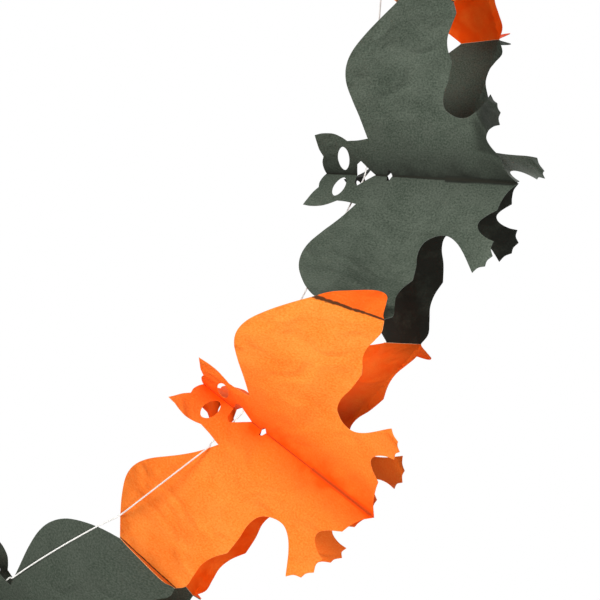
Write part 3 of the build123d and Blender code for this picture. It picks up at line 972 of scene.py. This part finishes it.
# %% [markdown]
# The thread runs straight from neck to neck, between the two sheets of each bat. At the neck of
# the third bat it comes to the front, and it crosses the paper to the neck of the fourth. Its
# route is worked out from the sheets, so that it rests on them. Each crossing has its half sheet,
# three places as shares of the die (behind the neck, before it, and at the edge of the wing), how
# far it dips behind the paper in mm, and on how many places of the wing it rests. Each place of a
# route has the radius of its bend in mm. The knots and the ends of the loops have none.

# %% The thread's route
thread_width = 0.85 * mm
thread_lift = 0.85 * mm
thread_at_neck = 0.218 * body_length
tight_bend, easy_bend = 1.8, 4.0
knot_size = 0.28
crossings = {
    "bat_3": (("front", "lower"), (0.215, 0.216), (0.230, 0.242), (0.262, 0.93), 2.0, 1),
    "bat_4": (("front", "upper"), (0.214, 0.216), (0.227, 0.246), (0.238, 0.90), 1.3, 6),
}


def neck_point(bat):
    """Where the thread passes between the two sheets of a bat."""
    front, back = [HalfSheet(bat, face, "upper") for face in ("front", "back")]
    (along, out), (_, behind) = [half.crease(thread_at_neck) for half in (front, back)]
    return front.head + front.axis * along + front.toward * ((out - behind) / 2)


def crossing(bat):
    """Where the thread comes round a neck, rests on the wing and leaves over its edge."""
    key, behind, before, edge, sunk, rests = crossings[bat]
    half = HalfSheet(bat, *key)
    route = [(half.die_point(behind, -sunk * mm), tight_bend),
             (half.die_point(before, thread_lift), tight_bend)]
    for rest in range(1, rests + 1):
        share = Vector(before).lerp(Vector(edge), rest / rests)
        route.append((half.die_point(share, thread_lift), easy_bend))
    return route


upper_knot, lower_knot = Vector((0.0, 0.0, -14.1)) * mm, Vector((-253.6, -11.9, -504.2)) * mm
places = [(upper_knot, 0.0), (neck_point("bat_1"), 20.0), (neck_point("bat_2"), 20.0),
          (neck_point("bat_3"), 6.0), *crossing("bat_3"), *crossing("bat_4")[::-1],
          (neck_point("bat_4"), 4.0), (lower_knot, 0.0)]
thread_route = [(tuple(place / mm), radius) for place, radius in places]
upper_loop = [
    ((0.8, 0.0, -14.1), 0.0), ((7.0, 0.0, -0.9), 4.0), ((3.5, 0.0, 7.9), 3.0),
    ((-3.5, 0.0, 7.9), 3.0), ((-7.0, 0.0, -0.9), 4.0), ((-0.8, 0.0, -14.1), 0.0),
]
lower_loop = [
    ((-254.1, -11.9, -503.5), 0.0), ((-268.5, -11.9, -506.1), 4.0),
    ((-273.6, -11.9, -514.1), 3.0), ((-269.6, -11.9, -519.8), 3.0),
    ((-260.4, -11.9, -517.5), 4.0), ((-253.2, -11.9, -504.8), 0.0),
]


def trefoil(middle, size, count=60):
    """The closed line of a small knot round a point, with no rounding to do."""
    line = []
    for index in range(count + 1):
        turn = 2 * math.pi * index / count
        x = math.sin(turn) + 2 * math.sin(2 * turn)
        y = math.cos(turn) - 2 * math.cos(2 * turn)
        z = -math.sin(3 * turn)
        line.append((tuple(m + size * v for m, v in zip(middle, (x, z, y))), 0.0))
    return line


lines = [thread_route, upper_loop, lower_loop,
         trefoil(thread_route[0][0], knot_size), trefoil(thread_route[-1][0], knot_size)]
print("thread lines:", len(lines))

# %% [markdown]
# Cotton thread is three plies twisted together, and up close a plain tube looks like wire. A
# Geometry Nodes tree rounds the corners of the route, copies it into three plies that wind round
# the middle line, and gives each ply its tube. The knots are small trefoils of the same yarn.

# %% The yarn tree
ply_count = 3
ply_pitch = 1.9 * mm
ply_sides = 6
yarn_step = 0.24 * mm
bend_points = 16
yarn_inputs = [("Ply width", "NodeSocketFloat"), ("Wind radius", "NodeSocketFloat"),
               ("Pitch", "NodeSocketFloat"), ("Step", "NodeSocketFloat"),
               ("Yarn", "NodeSocketMaterial")]


def yarn_tree():
    """The tree that rounds a line's corners and twists it into yarn."""
    tree, nodes, given = shape_nodes("twisted_yarn", yarn_inputs)
    curve = nodes.make("GeometryNodeMeshToCurve", None, {"Mesh": given["Geometry"]})
    bend = nodes.make("GeometryNodeInputNamedAttribute", {"data_type": "FLOAT"},
                      {"Name": "bend_radius"})
    curve = nodes.make("GeometryNodeFilletCurve", {"mode": "POLY"},
                       {"Curve": curve, "Count": bend_points, "Radius": bend,
                        "Limit Radius": True})
    curve = nodes.make("GeometryNodeResampleCurve", {"mode": "LENGTH"},
                       {"Curve": curve, "Length": given["Step"]})
    plies = nodes.make("GeometryNodeDuplicateElements", {"domain": "SPLINE"},
                       {"Geometry": curve, "Amount": ply_count})
    ply = nodes.also(plies, 1)
    length = nodes.make("GeometryNodeSplineParameter", None, None, output=1)
    turn = (length / given["Pitch"] + ply / float(ply_count)) * (2 * math.pi)
    normal = nodes.make("GeometryNodeInputNormal")
    tangent = nodes.make("GeometryNodeInputTangent")
    square = nodes.make("ShaderNodeVectorMath", {"operation": "CROSS_PRODUCT"},
                        {0: normal, 1: tangent})
    offset = (normal * turn.cosine() + square * turn.sine()) * given["Wind radius"]
    wound = nodes.make("GeometryNodeSetPosition", None, {"Geometry": plies, "Offset": offset})
    ring = nodes.make("GeometryNodeCurvePrimitiveCircle", {"mode": "RADIUS"},
                      {"Resolution": ply_sides, "Radius": given["Ply width"] * 0.5})
    tube = nodes.make("GeometryNodeCurveToMesh", None,
                      {"Curve": wound, "Profile Curve": ring, "Fill Caps": True})
    plain = nodes.make("GeometryNodeRealizeInstances", None, {0: tube})
    done = nodes.make("GeometryNodeSetMaterial", None,
                      {"Geometry": plain, "Material": given["Yarn"]})
    nodes.make("NodeGroupOutput", None, {0: done})
    return tree


yarn = yarn_tree()
print("yarn tree:", len(yarn.nodes), "nodes")

# %% [markdown]
# Cotton is matt and a little uneven: off-white, with painted shade in the hollows between the
# fibres.

# %% The cotton
cotton, nodes = shader_nodes("cotton")
place = nodes.make("ShaderNodeTexCoord", None, None, output=3)
fuzz = nodes.make("ShaderNodeTexNoise", None,
                  {"Vector": place, "Scale": 2600.0, "Detail": 3.0})
long_shade = nodes.make("ShaderNodeTexNoise", None,
                        {"Vector": place, "Scale": 180.0, "Detail": 2.0})
# Painted shade: the colour is darker where the fibre bump is low.
tone = ((fuzz - 0.5) * 1.2 + (long_shade - 0.5) * 0.6 + 0.5).held()
colour = nodes.make("ShaderNodeMix", {"data_type": "RGBA"},
                    {0: tone, 6: (0.76, 0.73, 0.68, 1.0), 7: (0.96, 0.95, 0.92, 1.0)}, output=2)
bump = nodes.make("ShaderNodeBump", None, {"Strength": 0.4, "Distance": 0.00008, "Height": fuzz})
surface = nodes.make("ShaderNodeBsdfPrincipled", None,
                     {"Base Color": colour, "Roughness": 0.9, "Normal": bump,
                      "Specular IOR Level": 0.2})
nodes.make("ShaderNodeOutputMaterial", None, {"Surface": surface})
print("material:", cotton.name)

# %% [markdown]
# The route, the loops and the knots become one mesh of edges. Each of its points holds the radius
# of its bend, and the yarn tree turns the edges into thread.

# %% The thread
points, edges, bends = [], [], []
for line in lines:
    first = len(points)
    points += [tuple(value * mm for value in place) for place, _ in line]
    bends += [radius * mm for _, radius in line]
    edges += [(index, index + 1) for index in range(first, len(points) - 1)]
mesh = bpy.data.meshes.new("thread_line")
mesh.from_pydata(points, edges, [])
radius = mesh.attributes.new("bend_radius", "FLOAT", "POINT")
radius.data.foreach_set("value", bends)
source = bpy.data.objects.new("thread_line", mesh)
bpy.context.collection.objects.link(source)
ply_width = thread_width * 0.5
mesh = finished_mesh(source, yarn, {
    "Ply width": ply_width, "Wind radius": (thread_width - ply_width) / 2, "Pitch": ply_pitch,
    "Step": yarn_step, "Yarn": cotton,
})
mesh.name = "cotton_thread"
mesh.shade_smooth()
thread = bpy.data.objects.new("cotton_thread", mesh)
bpy.context.collection.objects.link(thread)
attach(thread, "root")
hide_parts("thread")
print("thread:", len(mesh.polygons), "faces")

# %% [markdown]
# Dried craft glue is a yellowish, half-clear line. The solid model already has the beads and the
# strips in place, so they only get their finish.

# %% The glue
dried_glue, nodes = shader_nodes("dried_glue")
place = nodes.make("ShaderNodeTexCoord", None, None, output=3)
cloud = nodes.make("ShaderNodeTexNoise", None, {"Vector": place, "Scale": 900.0, "Detail": 2.0})
colour = nodes.make("ShaderNodeMix", {"data_type": "RGBA"},
                    {0: cloud, 6: (0.35, 0.22, 0.1, 1.0), 7: (0.7, 0.58, 0.38, 1.0)}, output=2)
surface = nodes.make("ShaderNodeBsdfPrincipled", None,
                     {"Base Color": colour, "Roughness": 0.35 + cloud * 0.2})
nodes.make("ShaderNodeOutputMaterial", None, {"Surface": surface})
for name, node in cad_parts.items():
    if name.endswith("glue"):
        for place_of_slot in node.material_slots:
            place_of_slot.material = dried_glue
print("material:", dried_glue.name)

# %% [markdown]
# The light is a broad soft lamp in front on the left, two weaker ones on the right, one of them
# low so that the undersides show their colour, one behind for the backs, and a dim room. The
# camera sees the room as plain white. A pale floor far below catches what shadow there is. Each
# lamp has its place from the middle of the garland and its size, in metres, and its watts.

# %% Floor, room and lamps
floor_mesh = bpy.data.meshes.new("floor")
floor_drop, reach = 1.2, 2.0
height = solid_box[0][2] - floor_drop
floor_mesh.from_pydata([(-reach, -reach, height), (reach, -reach, height),
                        (reach, reach, height), (-reach, reach, height)], [], [(0, 1, 2, 3)])
floor = bpy.data.objects.new("floor", floor_mesh)
bpy.context.collection.objects.link(floor)
floor_finish, nodes = shader_nodes("floor")
surface = nodes.make("ShaderNodeBsdfPrincipled", None,
                     {"Base Color": (0.8, 0.8, 0.8, 1.0), "Roughness": 0.9})
nodes.make("ShaderNodeOutputMaterial", None, {"Surface": surface})
floor_mesh.materials.append(floor_finish)

world = bpy.data.worlds.new("room")
bpy.context.scene.world = world
world.use_nodes = True
world.node_tree.nodes.clear()
nodes = Nodes(world.node_tree)
paths = nodes.make("ShaderNodeLightPath")
seen = paths.most(nodes.also(paths, 3)).most(nodes.also(paths, 6))
room_light, room_seen = 0.1, 1.0
glow = nodes.make("ShaderNodeMix", {"data_type": "FLOAT"},
                  {0: seen, 2: room_light, 3: room_seen})
room = nodes.make("ShaderNodeBackground", None, {"Color": (1.0, 1.0, 1.0, 1.0), "Strength": glow})
nodes.make("ShaderNodeOutputWorld", None, {"Surface": room})


def soft_lamp(name, place, size, watts):
    """A square area lamp that looks at the middle of the garland."""
    lamp = bpy.data.lights.new(name, "AREA")
    lamp.size, lamp.energy = size, watts
    holder = bpy.data.objects.new(name, lamp)
    holder.location = look_at + Vector(place)
    holder.rotation_euler = Vector(place).to_track_quat("Z", "Y").to_euler()
    bpy.context.collection.objects.link(holder)


lamps = {
    "key_lamp": ((-0.9, -2.2, 0.6), 0.8, 54),
    "side_lamp": ((0.9, -1.8, 1.2), 1.0, 8),
    "low_lamp": ((0.6, -1.6, -1.3), 1.2, 24),
    "back_lamp": ((0.4, 1.6, 1.9), 1.2, 44),
}
for name, (place, size, watts) in lamps.items():
    soft_lamp(name, place, size, watts)
bpy.context.scene.view_settings.view_transform = "Standard"
print("lamps:", len(lamps))
